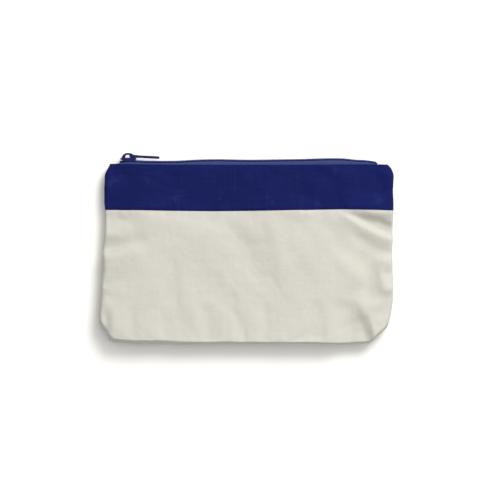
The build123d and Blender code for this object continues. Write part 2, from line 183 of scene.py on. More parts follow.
mouth = np.stack([xs, MOUTH(xs)], -1)
mouth[0], mouth[-1] = left_high[-1], right_high[-1]
side_left = np.concatenate([left_high[::-1], left_low[::-1]])      # downwards
side_right = np.concatenate([right_low, right_high])               # upwards
rim = np.concatenate([side_left[:-1], bottom, side_right[1:]])     # anticlockwise seen from above

STEP = 1.1
U = spaced(205.0, EDGE, STEP, EDGE)
V_LOW = spaced(98.0, EDGE, STEP)
V_HIGH = spaced(33.0, [0.0, 0.7], STEP, [0.0, 0.35, 0.9])


def coons(b0, b1, l0, l1, u, v):
    """Grid between bottom b0, top b1, left l0, right l1 (all n x 2 polylines)."""
    B0, B1, L0, L1 = arc(b0, u), arc(b1, u), arc(l0, v), arc(l1, v)
    uu, vv = u[None, :, None], v[:, None, None]
    return ((1 - vv) * B0[None] + vv * B1[None] + (1 - uu) * L0[:, None] + uu * L1[:, None]
            - (1 - uu) * (1 - vv) * B0[0] - uu * (1 - vv) * B0[-1] - (1 - uu) * vv * B1[0] - uu * vv * B1[-1])


low = coons(bottom, seamline, left_low, right_low, U, V_LOW)
high = coons(seamline, mouth, left_high, right_high, U, V_HIGH)
plan = np.concatenate([low, high[1:]])
SEAM_ROW = len(V_LOW) - 1
X, Y = plan[..., 0], plan[..., 1]
ROWS, COLS = X.shape
MID = int(np.argmin(np.abs(X[SEAM_ROW])))

# distances to the sides, to the bottom and to the rim
d_left, s_left = nearest(X, Y, side_left)
d_right, s_right = nearest(X, Y, side_right)
d_bottom, _ = nearest(X, Y, bottom)
d_left, d_right, d_bottom = np.abs(d_left), np.abs(d_right), np.abs(d_bottom)
d_rim = np.minimum(np.minimum(d_left, d_right), d_bottom)
corner_left = np.array([-100.2, -60.2])
corner_right = np.array([94.6, -62.9])


def rounded(d, r, power=2.0):
    return (1 - (1 - np.clip(d / r, 0, 1)) ** power) ** (1 / power)


def drop(d, r, power):
    return 1 - (1 - np.clip(d / r, 0, 1)) ** power


# ------------------------------------------------------------------ front surface
def px(points):
    """Plan positions of folds, given as distances right and down from the top left of a 500-unit board."""
    return [((a - 246.5) * 0.7167, (248.15 - b) * 0.7167) for a, b in points]


def front_height(X, Y):
    """Height of the open cloth of the front, before it turns down at the rim."""
    h = 12.1 + 4.7 * np.clip((10 - Y) / 76, 0, 1.05) ** 2 + 1.5 * smooth((Y - 30) / 26)
    h = h + 2.1 * np.clip((-X - 30) / 76, 0, 1) ** 1.3 * smooth((24 - Y) / 30)
    h = h - 1.3 * smooth((np.abs(X) - 66) / 38) * smooth((Y + 45) / 40)
    h = h - 1.0 * smooth((X - 40) / 50) * smooth((-Y - 25) / 30)
    h = h + 0.35 * swell(X, Y, 58, 3) + 0.12 * swell(X, Y, 26, 5) * smooth((30 - Y) / 14)
    h = h + 0.08 * swell(X, Y, 26, 6)

    def add(points, height, right, left, ends=(0.0, 1.0, 1.0, 0.0), at=(0.0, 0.3, 0.7, 1.0)):
        """A fold drawn from left to right or downwards; widths are of its upper or right-hand flank and of the other one."""
        nonlocal h
        h = h + fold(X, Y, px(points), height, right, left, ends, at)

    # right side: the cloth drops away from the band, then two long folds run down to the side seam
    add([(336, 206), (352, 209), (374, 211.5), (398, 212)], 3.8, 9.0, 6.2, (0.0, 0.9, 1.0, 0.85), (0, 0.3, 0.6, 1))
    add([(342, 210), (351, 214), (360, 218.3), (368, 222.3), (376, 226.2), (384, 229.8), (398, 235)], -2.6, 6.0, 2.4, (0.3, 1.0, 1.0, 0.9), (0, 0.2, 0.6, 1))
    add([(336, 213.5), (346, 217.8), (355, 222.6), (365, 228.4), (374, 232.8), (384, 237.2), (398, 242.5)], 1.75, 2.4, 5.4, (0.0, 0.6, 0.95, 1.0), (0, 0.2, 0.5, 1))
    add([(380, 220), (388, 221), (398, 223)], 0.9, 1.9, 2.0, (0.0, 0.8, 1.0, 1.0))
    add([(344, 227), (355, 236), (367, 244), (381, 252)], -0.9, 4.4, 4.4, (0.0, 0.8, 1.0, 0.7))
    add([(328, 236), (343, 246), (356, 258), (366, 274)], -0.85, 8.0, 7.0, (0.0, 1.0, 1.0, 0.0))
    add([(366, 252), (380, 254), (398, 254)], -0.9, 4.5, 3.6, (0.0, 1.0, 1.0, 1.0))
    add([(362, 246), (367, 260), (369, 280), (371, 306)], -1.6, 6.4, 7.0, (0.3, 1.0, 0.9, 0.0), (0, 0.25, 0.75, 1))
    add([(380, 263), (387, 262), (399, 262)], 1.1, 4.2, 3.4, (0.0, 0.9, 1.0, 1.0))
    add([(380, 276), (388, 275), (399, 274)], -0.7, 3.2, 3.2, (0.0, 1.0, 1.0, 1.0))
    add([(380, 290), (387, 289), (399, 289)], 0.9, 4.0, 3.0, (0.0, 0.9, 1.0, 1.0))
    add([(380, 300), (388, 299), (399, 298)], -0.4, 3.4, 5.0, (0.0, 1.0, 1.0, 1.0))
    add([(381, 246), (384, 262), (385, 282), (388, 304)], 1.45, 10.0, 5.4, (0.0, 1.0, 1.0, 0.0))
    add([(330, 252), (346, 265), (359, 276), (372, 288)], 0.55, 6.0, 5.0, (0.0, 1.0, 1.0, 0.0))
    add([(338, 292), (354, 293), (374, 295)], -0.7, 7.0, 4.0, (0.0, 1.0, 0.8, 0.0))
    # crease that climbs from the right-hand corner, with a hollow on its left
    add([(361, 297), (364.5, 308), (368.5, 320), (373, 333), (376, 345)], 2.2, 13.0, 2.9, (0.0, 0.7, 1.0, 1.0), (0, 0.3, 0.7, 1))
    add([(363, 312), (366.5, 327), (370, 345)], -2.4, 2.0, 8.0, (0.0, 0.6, 1.0, 1.0), (0, 0.3, 0.7, 1))
    add([(344, 294), (346, 308), (349, 322), (349, 345)], -3.4, 8.0, 9.0, (0.0, 0.7, 1.0, 1.0), (0, 0.35, 0.7, 1))
    add([(312, 296), (317, 316), (320, 342)], -1.2, 6.0, 8.0, (0.0, 0.8, 1.0, 0.6))
    # left side
    add([(99, 249.5), (112, 248), (126, 244.5), (150, 237)], -2.4, 6.0, 2.1, (1.0, 1.0, 0.55, 0.0))
    add([(99, 259), (112, 259), (128, 256), (150, 250)], 1.9, 4.0, 11.0, (1.0, 1.0, 0.7, 0.0))
    add([(99, 234), (112, 234), (122, 236)], 0.7, 4.5, 3.0, (1.0, 1.0, 0.6, 0.0))
    add([(122, 206), (131, 222), (142, 238), (156, 248)], -0.25, 8.0, 8.0)
    add([(140, 222), (152, 224), (166, 232)], 0.3, 8.0, 8.0)
    add([(99, 296), (112, 297), (124, 300)], -0.6, 4.0, 3.0, (1.0, 1.0, 0.5, 0.0))
    add([(106, 306), (106.5, 320), (106, 338)], -1.9, 3.4, 3.2, (0.0, 0.9, 1.0, 0.6), (0, 0.4, 0.7, 1))
    add([(116, 304), (115, 318), (117, 338)], 0.7, 7.0, 2.8, (0.0, 0.8, 1.0, 0.6))
    # broad soft shapes across the middle
    add([(166, 244), (172, 268), (173, 292), (174, 318)], -0.87, 5.2, 9.0, (0.0, 0.8, 1.0, 0.0))
    add([(150, 214), (176, 222), (204, 232), (236, 250)], 0.31, 10.0, 12.0)
    add([(202, 204), (207, 216), (214, 228)], -0.31, 4.0, 4.0)
    add([(230, 224), (242, 244), (252, 264), (262, 290)], -0.62, 8.0, 9.0)
    add([(266, 206), (274, 232), (280, 262), (286, 288)], 0.62, 7.0, 5.5)
    add([(272, 206), (292, 211), (322, 217)], 0.68, 7.0, 4.8)
    add([(288, 224), (302, 248), (316, 268), (330, 288)], 0.50, 7.0, 6.5)
    add([(308, 212), (324, 226), (344, 242)], -0.56, 5.0, 5.0)
    add([(228, 300), (239, 322), (248, 345)], -0.50, 3.8, 4.4, (0.0, 1.0, 1.0, 0.7))
    add([(264, 300), (265, 322), (267, 342)], -0.40, 3.8, 4.4, (0.0, 1.0, 1.0, 0.6))
    add([(204, 300), (208, 322), (210, 342)], -0.42, 4.2, 4.6, (0.0, 1.0, 1.0, 0.6))
    add([(162, 302), (165, 324), (167, 344)], -0.47, 4.2, 4.0, (0.0, 1.0, 1.0, 0.8))
    add([(131, 300), (133, 322), (133, 344)], -0.40, 3.4, 3.6, (0.0, 1.0, 1.0, 0.8))
    # band: slack at its right end and soft hollows
    add([(116, 160), (124, 176), (132, 192)], -0.7, 5.0, 8.0, (1.0, 1.0, 0.6, 0.0))
    add([(150, 160), (158, 176), (160, 196)], 0.45, 6.0, 6.0, (1.0, 1.0, 0.6, 0.0))
    add([(318, 160), (328, 176), (334, 192)], -0.6, 5.0, 6.0, (0.6, 1.0, 0.8, 0.0))
    add([(345, 162), (352, 178), (354, 192)], 0.6, 5.0, 5.0, (0.6, 1.0, 0.8, 0.0))
    add([(374, 163), (379, 180), (382, 206)], -0.9, 4.0, 7.0, (0.6, 1.0, 0.8, 0.5))
    return h


def shell(X, Y, height, side_r, bottom_r, lift):
    """Turns an open sheet down or up to the seam all round, as its height lies above or below the seam; lift is not
    used.
    """
    e = rounded(np.minimum(d_left, d_right), side_r, 1.7) * drop(d_bottom, bottom_r, 1.3)
    z = SEAM + (height - SEAM) * e
    return z, e


def board(height, sigma=0.7, step=0.6):
    """A height function sampled on a regular board, softened a little, and returned as a function of plan position."""
    gx, gy = np.arange(-114, 114.1, step), np.arange(-78, 72.1, step)
    GX, GY = np.meshgrid(gx, gy)
    z = height(GX, GY)
    z = SEAM + 1.3 + np.log1p(np.exp((z - SEAM - 1.3) * 2.5)) / 2.5            # soft lower limit
    z = 18.0 - np.log1p(np.exp((18.0 - z) * 2.5)) / 2.5                        # and upper limit
    k = np.exp(-0.5 * (np.arange(-int(3 * sigma / step), int(3 * sigma / step) + 1) * step / sigma) ** 2)
    k /= k.sum()
    for axis in (0, 1):
        z = np.apply_along_axis(lambda v: np.convolve(np.pad(v, len(k) // 2, mode="edge"), k, mode="valid"), axis, z)

    def at(x, y):
        i = np.clip((x - gx[0]) / step, 0, len(gx) - 1.001)
        j = np.clip((y - gy[0]) / step, 0, len(gy) - 1.001)
        a, b = i.astype(int), j.astype(int)
        fx, fy = i - a, j - b
        return (z[b, a] * (1 - fx) * (1 - fy) + z[b, a + 1] * fx * (1 - fy) + z[b + 1, a] * (1 - fx) * fy + z[b + 1, a + 1] * fx * fy)

    return at


Zf = board(front_height)(X, Y)
# gathers along the side seams, and along the band seam
pucker = np.sin(Y / 8.3 * 2 * math.pi + 2.2 * swell(X * 0, Y, 22, 21)) * np.exp(-np.minimum(d_left, d_right) / 5.5)
Zf = Zf + 0.13 * pucker * smooth((d_bottom - 4) / 8)
pucker = np.sin(X / 7.1 * 2 * math.pi + 2.5 * swell(X, Y * 0, 24, 22))
Zf = Zf + 0.10 * pucker * np.exp(-d_bottom / 6.0)
d_seam = Y - SEAMLINE(X)
Zf = Zf + 0.12 * pucker * np.exp(-np.abs(d_seam) / 4.0)
Zf = Zf - 0.55 * np.exp(-(d_seam / 0.75) ** 2) + 0.35 * np.exp(-((d_seam - 2.0) / 2.2) ** 2)
# the seam runs a little up and down round the case, and the walls either side of it are not quite straight
rim_wave = (0.55 * swell(X, Y, 34, 61) + 0.25 * swell(X, Y, 13, 62)) * np.exp(-d_rim / 5.0)
Zmouth = line([-98, -90, -60, 0, 60, 90, 100], [12.0, 13.2, 13.9, 13.7, 14.0, 13.0, 11.4], 4.0)
near_mouth = smooth(1 - (MOUTH(X) - Y) / 9.0)
Zf = Zf * (1 - near_mouth) + Zmouth(X) * near_mouth
Zf = np.clip(Zf, SEAM + 1.2, 18.1)
Zfront, Efront = shell(X, Y, Zf, 2.9 + 0.6 * swell(X, Y, 24, 63, n=16), 2.0 + 1.2 * smooth((-X - 10) / 60) + 0.2 * swell(X, Y, 24, 64, n=16), 1)
Zfront = Zfront + rim_wave

Zb = 0.25 + 0.22 * (1 + swell(X, Y, 30, 31)) * 0.5
Zb = Zb + 2.3 * smooth((Y - 40) / 20) + 0.15 * (1 + pucker) * np.exp(-d_bottom / 6.0)
Zb = Zb + 0.9 * smooth((np.abs(X) - 88) / 14)
Zb = Zb + 0.35 * np.exp(-(d_seam / 0.75) ** 2)
Zback, Eback = shell(X, Y, Zb, 5.0 + 1.2 * swell(X, Y, 23, 65, n=16), 4.0 + 0.9 * swell(X, Y, 19, 66, n=16), -1)
Zback = np.maximum(Zback + rim_wave, 0.12)


def pinch(X, Y, Z, depth=0.95):
    """Draws the cloth in along the seam, and along the boxed corners' short seams, and lets the walls wander a little."""
    cx, cy = X - 2.0, Y + 4.0
    towards = np.stack([-np.sign(cx) * smooth((np.abs(cx) - 80) / 12), np.where(d_bottom < 8, 1.0, 0.0) * smooth((-Y - 45) / 12)], -1)
    towards /= np.maximum(np.hypot(towards[..., 0], towards[..., 1]), 1e-6)[..., None]
    off = Z - SEAM - rim_wave
    amount = depth * np.exp(-(off / 1.25) ** 2)
    pleat = 0.14 * swell(X, Y, 5.5, 67) + 0.28 * swell(X, Y, 18, 68)
    amount = amount + pleat * np.exp(-d_rim / 2.5) * np.where(np.abs(off) < 1.0, 0.5, 1.0)
    for c in (corner_left, corner_right):
        t = np.array([1.0, -0.8 if c[0] < 0 else 0.8])
        t /= np.hypot(*t)
        along = (X - c[0]) * t[0] + (Y - c[1]) * t[1]
        near = np.exp(-np.minimum(d_rim, 99) / 1.6) * (np.hypot(X - c[0], Y - c[1]) < 8)
        amount = amount + 0.7 * np.exp(-(along / 0.9) ** 2) * near
    return X + towards[..., 0] * amount, Y + towards[..., 1] * amount


Xf, Yf = pinch(X, Y, Zfront)
Xb, Yb = pinch(X, Y, Zback)


# ------------------------------------------------------------------ cloth simulation of the front
def settle(x, y, z, grow=0.008, frames=24, cap=0.9):
    """Lets the front relax as cloth cut slightly too large for its seams, held along the seams and the mouth."""
    S = 10.0
    ri = np.unique(np.append(np.arange(0, ROWS, 3), ROWS - 1))
    ci = np.unique(np.append(np.arange(0, COLS, 3), COLS - 1))
    cx, cy, cz = (v[np.ix_(ri, ci)] for v in (x, y, z))
    rows, cols = cx.shape
    start = np.stack([cx, cy, cz], -1).reshape(-1, 3) * MM * S
    m = bpy.data.meshes.new("settling")
    m.from_pydata(start.tolist(), [], grid_faces(rows, cols).tolist())
    o = bpy.data.objects.new("settling", m)
    scene = bpy.context.scene
    scene.collection.objects.link(o)
    pin = o.vertex_groups.new(name="pin")
    held = (d_rim[np.ix_(ri, ci)] < 1.3) | (np.arange(rows)[:, None] >= rows - 3)
    pin.add(np.nonzero(held.ravel())[0].tolist(), 1.0, "REPLACE")
    mod = o.modifiers.new("cloth", "CLOTH")
    c = mod.settings
    c.quality, c.mass, c.air_damping = 6, 0.12, 2.0
    c.tension_stiffness = c.compression_stiffness = 18.0
    c.shear_stiffness, c.bending_stiffness = 6.0, 0.35
    c.tension_damping = c.compression_damping = c.shear_damping = 8.0
    c.vertex_group_mass = "pin"
    c.shrink_min = -grow
    c.use_pressure, c.uniform_pressure_force = True, 0.25
    c.effector_weights.gravity = 0.15
    mod.collision_settings.use_collision = False
    mod.collision_settings.use_self_collision = False
    mod.point_cache.frame_start, mod.point_cache.frame_end = 1, frames
    for f in range(1, frames + 1):
        scene.frame_set(f)
    e = o.evaluated_get(bpy.context.evaluated_depsgraph_get())
    out = np.zeros(len(start) * 3)
    e.data.vertices.foreach_get("co", out)
    scene.frame_set(1)
    move = (out.reshape(-1, 3) - start) / (MM * S)
    bpy.data.objects.remove(o, do_unlink=True)
    bpy.data.meshes.remove(m)
    size = np.linalg.norm(move, axis=1, keepdims=True)
    move = (move * (cap * np.tanh(size / cap) / np.maximum(size, 1e-9))).reshape(rows, cols, 3)
    move[held] = 0
    full = np.zeros((ROWS, COLS, 3))
    for k in range(3):
        half_ = np.stack([np.interp(np.arange(COLS), ci, move[r, :, k]) for r in range(rows)])
        full[..., k] = np.stack([np.interp(np.arange(ROWS), ri, half_[:, q]) for q in range(COLS)], 1)
    for _ in range(2):
        full[1:-1, 1:-1] = (full[:-2, 1:-1] + full[2:, 1:-1] + full[1:-1, :-2] + full[1:-1, 2:] + 4 * full[1:-1, 1:-1]) / 8
    print("settled: largest move %.2f mm, mean rise %.2f mm" % (np.linalg.norm(full, axis=-1).max(), full[..., 2].mean()))
    return x + full[..., 0], y + full[..., 1], z + full[..., 2]


# ------------------------------------------------------------------ meshes from grids
def grid_normals(x, y, z):
    p = np.stack([x, y, z], -1)
    du = np.gradient(p, axis=1)
    dv = np.gradient(p, axis=0)
    n = np.cross(du, dv)
    return n / np.maximum(np.linalg.norm(n, axis=-1, keepdims=True), 1e-9)


def flat_uv(x, y, z, mid_col, mid_row):
    """Distances along the cloth, in millimetres, from a middle column and row: the flat pattern's coordinates."""
    p = np.stack([x, y, z], -1)
    a = np.linalg.norm(np.diff(p, axis=1), axis=-1)
    u = np.concatenate([np.zeros((p.shape[0], 1)), np.cumsum(a, 1)], 1)
    u = u - u[:, mid_col:mid_col + 1] + x[:, mid_col:mid_col + 1]
    b = np.linalg.norm(np.diff(p, axis=0), axis=-1)
    v = np.concatenate([np.zeros((1, p.shape[1])), np.cumsum(b, 0)], 0)
    v = v - v[mid_row:mid_row + 1] + y[mid_row:mid_row + 1]
    return u, v


def mesh(name, verts, faces, uvs=None, normals=None, material=None):
    """An object from arrays in millimetres; uvs and normals are per vertex."""
    m = bpy.data.meshes.new(name)
    m.from_pydata((np.asarray(verts, float) * MM).tolist(), [], [list(map(int, f)) for f in faces])
    m.update()
    m.polygons.foreach_set("use_smooth", [True] * len(m.polygons))
    if uvs is not None:
        layer = m.uv_layers.new(name="cloth")
        idx = np.zeros(len(m.loops), int)
        m.loops.foreach_get("vertex_index", idx)
        layer.data.foreach_set("uv", (np.asarray(uvs, float)[idx] * MM * 10).astype(np.float32).ravel())
    if normals is not None:
        m.normals_split_custom_set_from_vertices([tuple(map(float, n)) for n in normals])
    if material is not None:
        m.materials.append(material)
    o = bpy.data.objects.new(name, m)
    bpy.context.scene.collection.objects.link(o)
    return o


def grid_faces(rows, cols, flip=False, start=0):
    i = np.arange(rows * cols).reshape(rows, cols) + start
    f = np.stack([i[:-1, :-1], i[:-1, 1:], i[1:, 1:], i[1:, :-1]], -1).reshape(-1, 4)
    return f[:, ::-1] if flip else f


Xf, Yf, Zfront = settle(Xf, Yf, Zfront)


class Piece:
    """Collects grids into one mesh."""

    def __init__(self):
        self.v, self.f, self.uv, self.n, self.count = [], [], [], [], 0

    def add(self, x, y, z, uv, flip=False, normals=None):
        rows, cols = x.shape
        self.v.append(np.stack([x, y, z], -1).reshape(-1, 3))
        self.uv.append(np.stack(uv, -1).reshape(-1, 2))
        n = grid_normals(x, y, z) if normals is None else normals
        self.n.append((-n if flip else n).reshape(-1, 3))
        self.f.append(grid_faces(rows, cols, flip, self.count))
        self.count += rows * cols
        return self

    def build(self, name, material):
        return mesh(name, np.concatenate(self.v), np.concatenate(self.f), np.concatenate(self.uv),
                    np.concatenate(self.n), material)


def tube_mesh(path, radius, sides=6, closed_ends=True, squash=1.0):
    """Vertices and faces of a tube along points (n x 3), in millimetres."""
    path = np.asarray(path, float)
    t = np.gradient(path, axis=0)
    t /= np.maximum(np.linalg.norm(t, axis=1, keepdims=True), 1e-9)
    ref = np.array([0.0, 0.0, 1.0]) if abs(t[:, 2]).mean() < 0.8 else np.array([1.0, 0.0, 0.0])
    a = np.cross(t, ref)
    a /= np.maximum(np.linalg.norm(a, axis=1, keepdims=True), 1e-9)
    b = np.cross(t, a)
    r = np.broadcast_to(np.asarray(radius, float), (len(path),))[:, None]
    ang = np.arange(sides) / sides * 2 * math.pi
    ring = (path[:, None] + r[..., None] * (np.cos(ang)[None, :, None] * a[:, None] + squash * np.sin(ang)[None, :, None] * b[:, None]))
    n = len(path)
    faces = []
    i = np.arange(n * sides).reshape(n, sides)
    j = np.roll(i, -1, axis=1)
    faces = np.stack([i[:-1], j[:-1], j[1:], i[1:]], -1).reshape(-1, 4).tolist()
    if closed_ends:
        faces.append(i[0, ::-1].tolist())
        faces.append(i[-1].tolist())
    return ring.reshape(-1, 3), faces


def tubes(name, paths, radius, material, sides=6, squash=1.0):
    vs, fs, uv, c = [], [], [], 0
    for p in paths:
        v, f = tube_mesh(p, radius, sides, squash=squash)
        s = np.concatenate([[0], np.cumsum(np.linalg.norm(np.diff(p, axis=0), axis=1))])
        uv.append(np.stack([np.repeat(s, sides), np.tile(np.arange(sides) / sides * 2 * math.pi * np.mean(radius), len(p))], -1))
        vs.append(v)
        fs += [[k + c for k in face] for face in f]
        c += len(v)
    return mesh(name, np.concatenate(vs), fs, np.concatenate(uv), None, material)


# ------------------------------------------------------------------ materials
class Nodes:
    """Small helper that builds a node tree from expressions."""

    def __init__(self, name):
        self.mat = bpy.data.materials.new(name)
        self.mat.use_nodes = True
        self.tree = self.mat.node_tree
        self.bsdf = next(n for n in self.tree.nodes if n.type == "BSDF_PRINCIPLED")

    def node(self, kind, **values):
        n = self.tree.nodes.new(kind)
        for k, v in values.items():
            setattr(n, k, v)
        return n

    def put(self, socket, value):
        if isinstance(value, bpy.types.NodeSocket):
            self.tree.links.new(value, socket)
        elif isinstance(value, (tuple, list)) and len(value) == 3 and socket.type == "RGBA":
            socket.default_value = (*value, 1.0)
        else:
            socket.default_value = value

    def math(self, op, a, b=None, c=None, clamp=False):
        n = self.node("ShaderNodeMath", operation=op, use_clamp=clamp)
        for s, v in zip(n.inputs, (a, b, c)):
            if v is not None:
                self.put(s, v)
        return n.outputs[0]

    def mix(self, fac, a, b, blend="MIX"):
        n = self.node("ShaderNodeMix", data_type="RGBA", blend_type=blend)
        self.put(n.inputs["Factor"], fac)
        self.put(n.inputs[6], a)
        self.put(n.inputs[7], b)
        return n.outputs[2]

    def vector(self, x, y, z=0.0):
        n = self.node("ShaderNodeCombineXYZ")
        for s, v in zip(n.inputs, (x, y, z)):
            self.put(s, v)
        return n.outputs[0]

    def noise(self, vector, scale, detail=2.0, rough=0.5, distortion=0.0, out=0):
        n = self.node("ShaderNodeTexNoise")
        self.put(n.inputs["Vector"], vector)
        for k, v in (("Scale", scale), ("Detail", detail), ("Roughness", rough), ("Distortion", distortion)):
            n.inputs[k].default_value = v
        return n.outputs[out]

    def ramp(self, value, lo, hi, a=0.0, b=1.0):
        n = self.node("ShaderNodeMapRange", interpolation_type="SMOOTHSTEP")
        for s, v in zip(("Value", "From Min", "From Max", "To Min", "To Max"), (value, lo, hi, a, b)):
            self.put(n.inputs[s], v)
        return n.outputs[0]

    def bump(self, height, strength, distance, normal=None):
        n = self.node("ShaderNodeBump")
        self.put(n.inputs["Height"], height)
        n.inputs["Strength"].default_value = strength
        n.inputs["Distance"].default_value = distance
        if normal is not None:
            self.put(n.inputs["Normal"], normal)
        return n.outputs[0]

    def set(self, **values):
        for k, v in values.items():
            self.put(self.bsdf.inputs[k.replace("_", " ")], v)
        return self


def woven(name, base, light, dark, pitch=(0.62, 0.62), relief=0.5, slub=0.5, fleck=0.0, rough=0.9, sheen=0.1, pale_edges=0.0,
          sheen_tint=(1, 1, 1), spec=0.2):
    """Plain weave on the cloth's own flat coordinates: threads, slubs, mottling, specks and a little wear, with painted
    shade darkening the gaps between the threads.
    """
    k = Nodes(name)
    uv = k.node("ShaderNodeUVMap", uv_map="cloth").outputs[0]
    sep = k.node("ShaderNodeSeparateXYZ")
    k.put(sep.inputs[0], uv)
    u, v = k.math("MULTIPLY", sep.outputs[0], 100.0), k.math("MULTIPLY", sep.outputs[1], 100.0)   # millimetres
    flat = k.vector(u, v)
    wobble = k.noise(flat, 0.35, 2.0)
    wobble = k.math("MULTIPLY", k.math("SUBTRACT", wobble, 0.5), 1.3)
    uu, vv = k.math("ADD", u, wobble), k.math("SUBTRACT", v, wobble)
    a = k.math("SINE", k.math("MULTIPLY", uu, math.pi / pitch[0]))
    b = k.math("SINE", k.math("MULTIPLY", vv, math.pi / pitch[1]))
    over = k.math("MULTIPLY", a, b)                                   # which thread lies on top
    # raises the thread crossings for the bump, and in the colour below it is painted shade that darkens the gaps
    # between threads
    crossing_bump_and_gap_shade = k.math("POWER", k.math("ABSOLUTE", over), 0.45)            # rounded crossings, gaps between
    warp = k.noise(k.vector(k.math("MULTIPLY", u, 1.6), k.math("MULTIPLY", v, 0.05)), 1.0, 2.0, 0.6)
    weft = k.noise(k.vector(k.math("MULTIPLY", u, 0.05), k.math("MULTIPLY", v, 1.6), 7.0), 1.0, 2.0, 0.6)
    thread = k.math("ADD", k.math("MULTIPLY", k.math("SUBTRACT", warp, 0.5), slub), k.math("MULTIPLY", k.math("SUBTRACT", weft, 0.5), slub))
    fuzz = k.noise(flat, 2.6, 3.0, 0.7)
    mottle = k.noise(flat, 0.045, 3.0, 0.55)
    # painted shade: the gaps between thread crossings are coloured darker than the crossings
    tone = k.math("ADD", k.math("MULTIPLY", crossing_bump_and_gap_shade, 0.30), k.math("MULTIPLY", over, 0.05))
    tone = k.math("ADD", tone, k.math("ADD", thread, 0.40))
    tone = k.math("ADD", tone, k.math("MULTIPLY", k.math("SUBTRACT", fuzz, 0.5), 0.35))
    tone = k.math("ADD", tone, k.math("MULTIPLY", k.math("SUBTRACT", mottle, 0.5), 0.35), clamp=True)
    colour = k.mix(k.ramp(tone, 0.15, 0.55), dark, base)
    colour = k.mix(k.ramp(tone, 0.60, 0.95), colour, light)
    worn = k.ramp(k.noise(flat, 0.09, 4.0, 0.6, 0.4), 0.56, 0.76)
    colour = k.mix(k.math("MULTIPLY", worn, pale_edges), colour, light)
    if fleck:
        specks = k.ramp(k.noise(flat, 1.1, 1.0, 0.5), 0.76, 0.80)
        colour = k.mix(k.math("MULTIPLY", specks, fleck), colour, (0.30, 0.24, 0.15))
    height = k.math("ADD", k.math("MULTIPLY", crossing_bump_and_gap_shade, 0.7), k.math("MULTIPLY", thread, 0.8))
    height = k.math("ADD", height, k.math("MULTIPLY", fuzz, 0.35))
    crumple = k.noise(flat, 0.16, 3.0, 0.5)
    n = k.bump(crumple, 0.35, 0.0012)
    n = k.bump(height, relief, 0.00016, n)
    k.set(Base_Color=colour, Normal=n, Roughness=k.ramp(fuzz, 0.2, 0.8, rough - 0.06, min(1.0, rough + 0.06)))
    k.put(k.bsdf.inputs["Specular IOR Level"], spec)
    k.put(k.bsdf.inputs["Sheen Weight"], sheen)
    k.put(k.bsdf.inputs["Sheen Roughness"], 0.45)
    k.put(k.bsdf.inputs["Sheen Tint"], sheen_tint)
    return k.mat


def thread(name, colour, light, ply=0.55, rough=0.7):
    """Twisted thread: slanting plies along a tube whose coordinates run along and round it, with painted shade
    darkening the grooves between the plies.
    """
    k = Nodes(name)
    uv = k.node("ShaderNodeUVMap", uv_map="cloth").outputs[0]
    sep = k.node("ShaderNodeSeparateXYZ")
    k.put(sep.inputs[0], uv)
    u, v = k.math("MULTIPLY", sep.outputs[0], 100.0), k.math("MULTIPLY", sep.outputs[1], 100.0)
    ply_bump_and_groove_shade = k.math("SINE", k.math("MULTIPLY", k.math("ADD", u, v), 2 * math.pi / ply))
    hair = k.noise(k.vector(u, v), 5.0, 3.0, 0.7)
    # painted shade: the colour follows the ply wave, lighter on the crests and darker in the grooves
    tone = k.math("ADD", k.math("MULTIPLY", ply_bump_and_groove_shade, 0.25), hair, clamp=True)
    k.set(Base_Color=k.mix(k.ramp(tone, 0.25, 0.8), colour, light), Roughness=rough,
          Normal=k.bump(k.math("ADD", ply_bump_and_groove_shade, hair), 0.5, 0.00008))
    k.put(k.bsdf.inputs["Specular IOR Level"], 0.08)
    return k.mat


def enamel(name, base, worn, metal=0.0, rough=0.32):
    """Painted casting: orange peel, faint cloudiness, rubbed edges where the paint wears."""
    k = Nodes(name)
    geo = k.node("ShaderNodeTexCoord").outputs["Object"]
    cloud = k.noise(geo, 260.0, 3.0, 0.6)
    peel = k.noise(geo, 2600.0, 2.0, 0.5)
    bevel = k.node("ShaderNodeNewGeometry")
    edge = k.ramp(bevel.outputs["Pointiness"], 0.52, 0.60)
    scuff = k.ramp(k.noise(geo, 900.0, 4.0, 0.7), 0.55, 0.70)
    wear = k.math("MULTIPLY", edge, scuff)
    colour = k.mix(k.ramp(cloud, 0.3, 0.7), tuple(0.85 * c for c in base), tuple(min(1, 1.25 * c) for c in base))
    k.set(Base_Color=k.mix(k.math("MULTIPLY", wear, 0.45), colour, worn),
          Roughness=k.ramp(cloud, 0.2, 0.8, rough - 0.05, rough + 0.1),
          Normal=k.bump(peel, 0.12, 0.00005), Metallic=k.math("MULTIPLY", wear, metal))
    k.put(k.bsdf.inputs["Specular IOR Level"], 0.10)
    k.put(k.bsdf.inputs["Coat Weight"], 0.0)
    k.put(k.bsdf.inputs["Coat Roughness"], 0.3)
    return k.mat


def nylon(name, base, light):
    """Dyed nylon filament: slightly uneven in colour along its length."""
    k = Nodes(name)
    geo = k.node("ShaderNodeTexCoord").outputs["Object"]
    vary = k.noise(geo, 700.0, 2.0, 0.5)
    fine = k.noise(geo, 6000.0, 2.0, 0.5)
    k.set(Base_Color=k.mix(k.ramp(vary, 0.3, 0.7), base, light), Roughness=k.ramp(fine, 0.2, 0.8, 0.38, 0.55),
          Normal=k.bump(fine, 0.15, 0.00004))
    k.put(k.bsdf.inputs["Specular IOR Level"], 0.22)
    return k.mat


